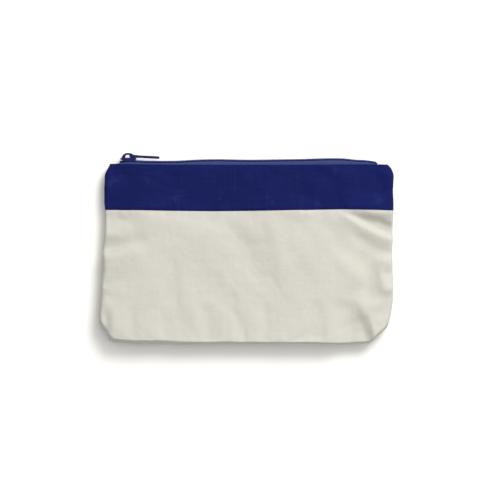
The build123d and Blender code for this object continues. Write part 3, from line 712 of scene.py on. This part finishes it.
NATURAL = woven("natural_canvas_weave", (0.430, 0.418, 0.372), (0.474, 0.462, 0.419), (0.345, 0.335, 0.295), (0.60, 0.66), 0.55, 0.40, 0.35, 0.92, 0.03, 0.25)
NAVY = woven("navy_canvas_weave", (0.0044, 0.0076, 0.066), (0.015, 0.020, 0.100), (0.003, 0.005, 0.045), (0.60, 0.66), 0.55, 0.45, 0.0, 0.92, 0.0, 0.55,
             sheen_tint=(0.5, 0.55, 0.9), spec=0.08)
TAPE = woven("zip_tape_weave", (0.025, 0.037, 0.118), (0.040, 0.056, 0.155), (0.015, 0.022, 0.080), (0.42, 0.34), 0.6, 0.35, 0.0, 0.8, 0.02, 0.2,
             sheen_tint=(0.6, 0.65, 1.0), spec=0.15)
NAVY_THREAD = thread("navy_thread", (0.0045, 0.0070, 0.062), (0.009, 0.013, 0.088))
CREAM_THREAD = thread("natural_thread", (0.66, 0.63, 0.56), (0.84, 0.82, 0.76))
CORD = thread("filler_cord", (0.03, 0.04, 0.14), (0.07, 0.09, 0.24), 0.9)
ENAMEL = enamel("navy_enamel", (0.0045, 0.0070, 0.060), (0.05, 0.055, 0.11), 0.3, 0.42)
NYLON = nylon("navy_nylon", (0.011, 0.018, 0.125), (0.019, 0.029, 0.175))

for node in ("slider_body", "slider_crown", "pull_tab"):
    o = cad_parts[node]
    o.data.materials.clear()
    o.data.materials.append(ENAMEL)

# ------------------------------------------------------------------ cloth pieces
ULEFT, URIGHT = slice(0, MID + 1), slice(MID, COLS)
PANEL, BAND = slice(0, SEAM_ROW + 1), slice(SEAM_ROW, ROWS)
uvf = flat_uv(Xf, Yf, Zfront, MID, SEAM_ROW)
uvb = flat_uv(Xb, Yb, Zback, MID, SEAM_ROW)
nf, nb = grid_normals(Xf, Yf, Zfront), grid_normals(Xb, Yb, Zback)

# hem: the band's top edge turns in and runs back down inside
HEM_STEPS = [(0.22, 0.28), (0.05, 0.75), (-0.8, 1.0), (-2.6, 1.05), (-5.2, 1.05), (-8.0, 1.05)]


def hem(x, y, z, sign):
    """Rows that continue the mouth edge: out a little, round, and back inside the band."""
    top = np.stack([x[-1], y[-1], z[-1]], -1)
    rows = [top] + [top + np.array([0.0, a, -sign * b]) for a, b in HEM_STEPS]
    rows = np.stack(rows)
    for i in range(3, len(rows)):                      # inside, follow the outer cloth's height
        yy = rows[i][:, 1]
        for c in range(rows.shape[1]):
            zz = np.interp(yy[c], y[-14:, c], z[-14:, c])
            rows[i][c, 2] = zz - sign * 1.05
    return rows[..., 0], rows[..., 1], rows[..., 2]


def allowance(sign, z0):
    """The turned-in seam allowance: a strip that runs round the sides and the bottom inside the seam."""
    pts = arc(rim, np.linspace(0, 1, 420))
    t = np.gradient(pts, axis=0)
    t /= np.hypot(t[:, 0], t[:, 1])[:, None]
    n = np.stack([-t[:, 1], t[:, 0]], -1)              # inward
    for _ in range(60):
        n[1:-1] = (n[:-2] + 2 * n[1:-1] + n[2:]) / 4
    n /= np.hypot(n[:, 0], n[:, 1])[:, None]
    offs = np.array([0.7, 2.0, 4.2, 6.6, 7.6])
    P = pts[None] + offs[:, None, None] * n[None]
    z = np.full(P.shape[:2], z0) + sign * 0.25 * smooth((offs - 0.7) / 3)[:, None] * (1 + 0.6 * swell(pts[:, 0], pts[:, 1], 9, 41)[None])
    s = np.concatenate([[0], np.cumsum(np.hypot(*np.diff(pts, axis=0).T))])
    uv = (np.broadcast_to(s, P.shape[:2]), np.broadcast_to(offs[:, None], P.shape[:2]))
    return P[..., 0], P[..., 1], z, uv, pts


ax, ay, az, auv, apts = allowance(1, SEAM + 0.12)
bx, by, bz, buv, _ = allowance(-1, SEAM - 0.12)
split_left = int(np.argmax(apts[:, 1] < SEAMLINE(apts[:, 0])))
split_right = len(apts) - int(np.argmax(apts[::-1, 1] < SEAMLINE(apts[::-1, 0])))
split_mid = int(np.argmin(np.abs(apts[:, 0] - 0) + (apts[:, 1] > -50) * 1e3))


def cloth_piece(name, grid, uv, normals, rows, cols, flip, material, strip=None, strip_cols=None, hem_sign=0):
    x, y, z = grid
    p = Piece()
    p.add(x[rows, cols], y[rows, cols], z[rows, cols], (uv[0][rows, cols], uv[1][rows, cols]), flip, normals[rows, cols])
    if hem_sign:
        hx, hy, hz = hem(x, y, z, hem_sign)
        hu = np.broadcast_to(uv[0][-1], hx.shape)
        run = np.concatenate([[0], np.cumsum([0.36, 0.5, 0.9, 1.8, 2.6, 2.8])])
        hv = uv[1][-1][None] + run[:, None]
        hn = grid_normals(hx, hy, hz)
        p.add(hx[:, cols], hy[:, cols], hz[:, cols], (hu[:, cols], hv[:, cols]), flip, hn[:, cols])
    if strip is not None:
        sx, sy, sz, suv = strip
        c = strip_cols
        p.add(sx[:, c], sy[:, c], sz[:, c], (suv[0][:, c], suv[1][:, c]), flip)
    return p.build(name, material)


F, B = (Xf, Yf, Zfront), (Xb, Yb, Zback)
fs, bs = (ax, ay, az, auv), (bx, by, bz, buv)
front_panel_left = cloth_piece("front_panel_left", F, uvf, nf, PANEL, ULEFT, False, NATURAL, fs, slice(split_left, split_mid + 1))
front_panel_right = cloth_piece("front_panel_right", F, uvf, nf, PANEL, URIGHT, False, NATURAL, fs, slice(split_mid, split_right))
front_band_left = cloth_piece("front_band_left", F, uvf, nf, BAND, ULEFT, False, NAVY, fs, slice(0, split_left + 1), 1)
front_band_right = cloth_piece("front_band_right", F, uvf, nf, BAND, URIGHT, False, NAVY, fs, slice(split_right - 1, len(apts)), 1)
back_panel = cloth_piece("back_panel_cloth", B, uvb, nb, PANEL, slice(0, COLS), True, NATURAL, bs, slice(split_left, split_right))
back_band = cloth_piece("back_band_cloth", B, uvb, nb, BAND, slice(0, COLS), True, NAVY, None, None, -1)


def bows(o):
    """Cloth of the front half: its placement baked into its mesh."""
    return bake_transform(o)


for o, left, node in ((front_panel_left, True, "front_panel"), (front_panel_right, False, "front_panel"),
                      (front_band_left, True, "front_band"), (front_band_right, False, "front_band")):
    bows(o)
    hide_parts(node)
for o, node, slot in ((back_panel, "back_panel", "natural_canvas"), (back_band, "back_band", "navy_canvas")):
    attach(o, "back")
    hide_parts(node)

def height_at(grid, x, y):
    """Height of a cloth grid at plan points, read along its columns."""
    gx, gy, gz = grid
    x, y = np.broadcast_arrays(np.asarray(x, float), np.asarray(y, float))
    out = np.zeros(x.shape)
    for i in np.ndindex(x.shape):
        r = int(np.argmin(np.abs(gy[:, MID] - y[i])))
        c = np.interp(x[i], gx[r], np.arange(gx.shape[1]))
        c0 = min(int(c), gx.shape[1] - 2)
        z0, z1 = (np.interp(y[i], gy[2:, k], gz[2:, k]) for k in (c0, c0 + 1))
        out[i] = z0 + (z1 - z0) * (c - c0)
    return out


# ------------------------------------------------------------------ zip tapes
TAPE_XS = np.unique(np.concatenate([np.arange(-99, -0.1, 1.2), [0.0], np.arange(1.2, 99.2, 1.2)]))


def tape_section(x, sign):
    """Centre line (Y, Z) of one tape at x: from inside the band, over its lip, and down behind the coil."""
    w = float(ZIPWAVE(x))
    tuck = float(smooth((abs(x) - 94) / 5))
    grid = F if sign > 0 else B
    m = float(MOUTH(x))
    ins = [(a, sign * (float(height_at(grid, x, a)) - SEAM) - 1.75) for a in (47.5, 51.0, 54.5, 57.5, m - 0.7)]
    near_slider = float(smooth(1 - (abs(abs(x) - 84.5) - 6) / 6))
    lip = min(ins[-1][1] - 0.25, 3.9)
    ins[-1] = (ins[-1][0], ins[-1][1] + (4.0 - ins[-1][1]) * near_slider)
    # clear of the slider: outside its lower plate, and under its flanges
    pts = ins + [(m + 0.35 + 0.3 * w, lip + (4.12 - lip) * near_slider), (61.30 + w - 0.05 * near_slider, 3.45 + 0.63 * near_slider),
                 (61.72 + w - 0.12 * near_slider, 3.1 + 0.6 * near_slider), (61.52 + w, 2.5), (61.42 + w, 1.8), (61.42 + w, 0.95)]
    pts = [(a - tuck * 2.2 * smooth((a - 56) / 4), b * (1 - 0.75 * tuck)) for a, b in pts]
    return np.array([(a, SEAM + sign * b) for a, b in pts])


def tape_piece(name, sign, xs):
    """Both faces, the selvedges and the cut ends of a tape, 0.45 mm thick, as one closed skin."""
    secs = np.stack([tape_section(x, sign) for x in xs])            # n x k x 2
    fine = np.linspace(0, 1, 30)
    out = []
    for s in secs:
        seg = np.concatenate([[0], np.cumsum(np.hypot(*np.diff(s, axis=0).T))])
        g = np.stack([np.interp(fine * seg[-1], seg, s[:, 0]), np.interp(fine * seg[-1], seg, s[:, 1])], -1)
        for _ in range(2):
            g[1:-1] = (g[:-2] + 2 * g[1:-1] + g[2:]) / 4
        out.append(g)
    g = np.stack(out)
    t = np.gradient(g, axis=1)
    t /= np.maximum(np.hypot(t[..., 0], t[..., 1]), 1e-9)[..., None]
    n = np.stack([-t[..., 1], t[..., 0]], -1) * sign                # outward from the mouth's middle
    outer, inner = g + 0.22 * n, g - 0.22 * n
    ring = np.concatenate([outer, inner[:, ::-1], outer[:, :1]], axis=1)
    xx = np.broadcast_to(xs[:, None], ring.shape[:2])
    run = np.concatenate([np.zeros((len(xs), 1)), np.cumsum(np.hypot(*np.moveaxis(np.diff(ring, axis=1), -1, 0)), 1)], 1)
    normals = grid_normals(xx, ring[..., 0], ring[..., 1])[:, :-1] * (-1 if sign < 0 else 1)
    verts = np.stack([xx, ring[..., 0], ring[..., 1]], -1)[:, :-1]
    k = verts.shape[1]
    i = np.arange(len(xs) * k).reshape(len(xs), k)
    j = np.roll(i, -1, axis=1)
    q = np.arange(k // 2 - 1)
    faces = np.concatenate([np.stack([i[:-1], j[:-1], j[1:], i[1:]], -1).reshape(-1, 4),
                            np.stack([i[0, q + 1], i[0, q], i[0, k - 1 - q], i[0, k - 2 - q]], -1),
                            np.stack([i[-1, q], i[-1, q + 1], i[-1, k - 2 - q], i[-1, k - 1 - q]], -1)])
    uv = np.stack([xx[:, :-1], run[:, :-1]], -1).reshape(-1, 2)
    return mesh(name, verts.reshape(-1, 3), faces[:, ::-1] if sign < 0 else faces, uv, normals.reshape(-1, 3), TAPE)


left_x = TAPE_XS[TAPE_XS <= 0]
right_x = TAPE_XS[TAPE_XS >= 0]
tape_left = tape_piece("zip_tape_front_left", 1, left_x)
tape_right = tape_piece("zip_tape_front_right", 1, right_x)
tape_back = tape_piece("zip_tape_back_woven", -1, TAPE_XS)
for o, left in ((tape_left, True), (tape_right, False)):
    bows(o)
    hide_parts("zip_tape_front")
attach(tape_back, "back")
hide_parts("zip_tape_back")

# ------------------------------------------------------------------ coils
PITCH = 1.6


def coil_path(sign, first, x0, x1, steps=14):
    """One filament wound flat: spine at the back, heads that reach past the centre line."""
    turns = int((x1 - x0) / PITCH)
    pts = []
    for i in range(turns):
        c = first + i * PITCH
        for j in range(steps):
            a = 2 * math.pi * j / steps
            reach = 1.19 + 1.50 * math.cos(a)                       # from -0.31 at the head to 2.69 at the spine
            thick = 0.50 * math.sin(a) * (1.0 + 0.2 * (math.cos(a) < -0.6))
            head = max(0.0, -math.cos(a)) ** 3
            x = c + PITCH * (j / steps - 0.5) * (1 - 0.75 * head) + 0.0
            pts.append((x, 62.5 + thick + float(ZIPWAVE(x)), SEAM + sign * reach))
    return np.array(pts)


def coil_piece(name, sign, first, x0, x1):
    k = int(math.ceil((x0 - first) / PITCH))
    return tubes(name, [coil_path(sign, first + k * PITCH, x0, x1)], 0.39, NYLON, 6)


F0, B0 = -89.6, -89.6 + PITCH / 2
coil_left = coil_piece("zip_coil_front_left", 1, F0, -90.4, 0.0)
coil_right = coil_piece("zip_coil_front_right", 1, F0, 0.01 - PITCH, 94.3)
coil_back = coil_piece("zip_coil_back_wound", -1, B0, -90.4, 94.3)
cord_paths = {}
for sign in (1, -1):
    g = np.arange(-90.4, 94.4, 1.5)
    cord_paths[sign] = np.stack([g, 62.5 + ZIPWAVE(g), np.full_like(g, SEAM + sign * 1.75)], -1)
half = len(cord_paths[1]) // 2
cord_left = tubes("coil_cord_front_left", [cord_paths[1][:half + 1]], 0.28, CORD)
cord_right = tubes("coil_cord_front_right", [cord_paths[1][half:]], 0.28, CORD)
cord_back = tubes("coil_cord_back_twist", [cord_paths[-1]], 0.28, CORD)
for o, left, node, slot in ((coil_left, True, "zip_coil_front", "coil"), (coil_right, False, "zip_coil_front", "coil"),
                            (cord_left, True, "coil_cord_front", "cord"), (cord_right, False, "coil_cord_front", "cord")):
    bows(o)
    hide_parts(node)
for o, node, slot in ((coil_back, "zip_coil_back", "coil"), (cord_back, "coil_cord_back", "cord")):
    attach(o, "back")
    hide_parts(node)

# ------------------------------------------------------------------ stitches
def on_surface(grid, x, y):
    """Height of a cloth grid above a plan point, by the nearest cells."""
    gx, gy, gz = grid
    d = (gx - x) ** 2 + (gy - y) ** 2
    idx = np.argpartition(d.ravel(), 6)[:6]
    w = 1 / (d.ravel()[idx] + 0.02)
    return float((gz.ravel()[idx] * w).sum() / w.sum())


def stitch_row(grid, line_y, xs_, length, gap, lift, rise=0.02):
    """Separate stitches along a row: each dips into the cloth at both ends."""
    out = []
    x = xs_[0]
    r = np.random.default_rng(77)
    while x + length < xs_[1]:
        L = length * r.uniform(0.93, 1.05)
        t = np.linspace(0, 1, 7)
        px_ = x + t * L
        py_ = np.array([line_y(v) for v in px_]) + r.uniform(-0.06, 0.06)
        base = np.array([on_surface(grid, a, b) for a, b in zip(px_, py_)])
        arch = np.sin(np.pi * t) ** 0.5
        pz = base + lift * (rise * arch - 0.24 * (1 - arch))
        out.append(np.stack([px_, py_, pz], -1))
        x += L + gap
    return out


top_front = stitch_row(F, lambda v: float(MOUTH(v)) - 3.0, (-96, 98), 2.45, 0.55, 1)
top_back = stitch_row(B, lambda v: float(MOUTH(v)) - 3.0, (-96, 98), 2.45, 0.55, -1)
sl = tubes("zip_stitches_front_left", [p for p in top_front if p[:, 0].mean() < 0], 0.17, NAVY_THREAD)
sr = tubes("zip_stitches_front_right", [p for p in top_front if p[:, 0].mean() >= 0], 0.17, NAVY_THREAD)
sb = tubes("zip_stitches_back_row", top_back, 0.17, NAVY_THREAD)
bows(sl)
bows(sr)
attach(sb, "back")
for o, node in ((sl, "zip_stitches_front"), (sr, "zip_stitches_front"), (sb, "zip_stitches_back")):
    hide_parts(node)

# bar tacks across the zip's two ends
tacks = []
for side in (-1, 1):
    cx = side * 95.2
    w = float(ZIPWAVE(cx))
    tuck = float(smooth((abs(cx) - 94) / 5))
    for i in range(9):
        z = SEAM + (i - 4) * 0.8
        y = 61.7 + w - 2.2 * tuck
        tacks.append(np.array([(cx - 0.75, y - 0.2, z), (cx - 0.35, y + 0.12, z + 0.1), (cx + 0.35, y + 0.12, z + 0.25), (cx + 0.75, y - 0.2, z + 0.35)]))
zt = tubes("zip_tack_threads", tacks, 0.2, NAVY_THREAD)
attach(zt, "back")
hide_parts("zip_tacks")

# ------------------------------------------------------------------ overlocked edges inside
def overlock(path, radius=0.62, pitch=1.15, steps=9):
    """Thread wound round a raw edge that follows a path."""
    path = np.asarray(path, float)
    s = np.concatenate([[0], np.cumsum(np.linalg.norm(np.diff(path, axis=0), axis=1))])
    n = int(s[-1] / pitch * steps)
    g = np.linspace(0, s[-1], n)
    c = np.stack([np.interp(g, s, path[:, i]) for i in range(3)], -1)
    t = np.gradient(c, axis=0)
    t /= np.linalg.norm(t, axis=1, keepdims=True)
    up = np.array([0.0, 0.0, 1.0])
    a = np.cross(t, up)
    a /= np.maximum(np.linalg.norm(a, axis=1, keepdims=True), 1e-9)
    b = np.cross(a, t)
    ang = g / pitch * 2 * math.pi
    return c + radius * (1.25 * np.cos(ang)[:, None] * a + 0.85 * np.sin(ang)[:, None] * b)


def edge_path(i0, i1, off=7.4):
    t = np.gradient(apts, axis=0)
    t /= np.hypot(t[:, 0], t[:, 1])[:, None]
    n = np.stack([-t[:, 1], t[:, 0]], -1)
    for _ in range(60):
        n[1:-1] = (n[:-2] + 2 * n[1:-1] + n[2:]) / 4
    n /= np.hypot(n[:, 0], n[:, 1])[:, None]
    p = apts + off * n
    return np.concatenate([p[i0:i1], np.full((i1 - i0, 1), SEAM)], 1)


inds = np.arange(len(apts))
side_l = np.where((apts[:, 0] < -90) & (apts[:, 1] > -50) & (apts[:, 1] < 48))[0]
side_r = np.where((apts[:, 0] > 90) & (apts[:, 1] > -50) & (apts[:, 1] < 48))[0]
low_i = np.where((np.abs(apts[:, 0]) < 86) & (apts[:, 1] < -60))[0]
ol_specs = [("side_overlock_left", edge_path(side_l[0], side_l[-1])), ("side_overlock_right", edge_path(side_r[0], side_r[-1])),
            ("bottom_overlock", edge_path(low_i[0], low_i[-1]))]
for name, path in ol_specs:
    o = tubes(name + "_thread", [overlock(path)], 0.17, CREAM_THREAD, 5)
    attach(o, "back")
    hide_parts(name)
for name, c in (("corner_overlock_left", (-94.4, -61.0)), ("corner_overlock_right", (94.4 - 5.0, -61.6))):
    lo_, hi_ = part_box(name)
    zz = np.linspace(5.2, 10.8, 12)
    path = np.stack([np.full(12, (lo_.x + hi_.x) / 2 / MM), np.full(12, (lo_.y + hi_.y) / 2 / MM), zz], -1)
    v = []
    g = np.linspace(0, 1, 60)
    cc = np.stack([np.interp(g, np.linspace(0, 1, 12), path[:, i]) for i in range(3)], -1)
    ang = g * 5 * 2 * math.pi
    helix = cc + np.stack([0.6 * np.cos(ang), 0.6 * np.sin(ang), 0 * ang], -1)
    o = tubes(name + "_thread", [helix], 0.17, CREAM_THREAD, 5)
    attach(o, "back")
    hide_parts(name)
gx = np.linspace(-86, 86, 120)
for name, grid, sign in (("band_overlock_front", F, 1), ("band_overlock_back", B, -1)):
    z = np.min([sign * height_at(grid, gx, SEAMLINE(gx) + q) for q in (3.2, 4.2, 5.2)], axis=0) * sign - sign * 1.3
    z = np.clip(z, 1.1, None)
    path = np.stack([gx, SEAMLINE(gx) + 4.2, z], -1)
    if sign > 0:
        for nm, sel, left in (("_left", gx <= 0.1, True), ("_right", gx >= -0.1, False)):
            o = tubes(name + nm, [overlock(path[sel], 0.42)], 0.15, CREAM_THREAD, 5)
            bows(o)
            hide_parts(name)
    else:
        o = tubes(name + "_thread", [overlock(path, 0.42)], 0.15, CREAM_THREAD, 5)
        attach(o, "back")
        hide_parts(name)

# ------------------------------------------------------------------ floor, light, camera
floor_mat = Nodes("pale_floor")
spot = floor_mat.noise(floor_mat.node("ShaderNodeTexCoord").outputs["Object"], 3.0, 2.0)
floor_mat.set(Base_Color=floor_mat.mix(spot, (0.795, 0.780, 0.738), (0.81, 0.795, 0.752)), Roughness=0.85)
floor = mesh("floor", [(-2500, -2500, 0), (2500, -2500, 0), (2500, 2500, 0), (-2500, 2500, 0)], [(0, 1, 2, 3)], None, None, floor_mat.mat)
floor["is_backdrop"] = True


def area_light(name, direction, distance, size, power, colour=(1, 1, 1)):
    data = bpy.data.lights.new(name, "AREA")
    data.shape, data.size, data.energy, data.color = "DISK", size, power, colour
    o = bpy.data.objects.new(name, data)
    d = Vector(direction).normalized()
    o.location = d * distance + Vector((0, 0, 0.01))
    o.rotation_euler = d.to_track_quat("Z", "Y").to_euler()
    bpy.context.scene.collection.objects.link(o)
    return o


area_light("key", (0.50, 0.80, 0.95), 1.6, 0.80, 23.0, (1.0, 0.99, 0.965))
area_light("panel", (0.40, 0.55, 1.0), 1.7, 2.0, 15.5, (1.0, 1.0, 1.0))
world = bpy.context.scene.world or bpy.data.worlds.new("World")
bpy.context.scene.world = world
world.use_nodes = True
world.node_tree.nodes["Background"].inputs[0].default_value = (0.97, 0.975, 1.0, 1)
world.node_tree.nodes["Background"].inputs[1].default_value = 0.68
bpy.context.scene.view_settings.view_transform = "Standard"
bpy.context.scene.view_settings.look = "None"

cam_data = bpy.data.cameras.new("camera")
cam_data.lens, cam_data.sensor_width = 160.0, 36.0
cam_data.clip_end = 20
cam = bpy.data.objects.new("camera", cam_data)
cam.location = (0.00251, -0.00133, 0.010 + 0.35835 * 160 / 36)
cam.rotation_euler = (0, 0, 0)
bpy.context.scene.collection.objects.link(cam)
bpy.context.scene.camera = cam


def plain(value):
    if isinstance(value, dict):
        return {k: plain(v) for k, v in value.items()}
    if hasattr(value, "__len__") and not isinstance(value, str):
        return [plain(v) for v in value]
    return float(value) if isinstance(value, (int, float)) else value


{"cad": plain(cad_box), "visual": plain(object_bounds())}
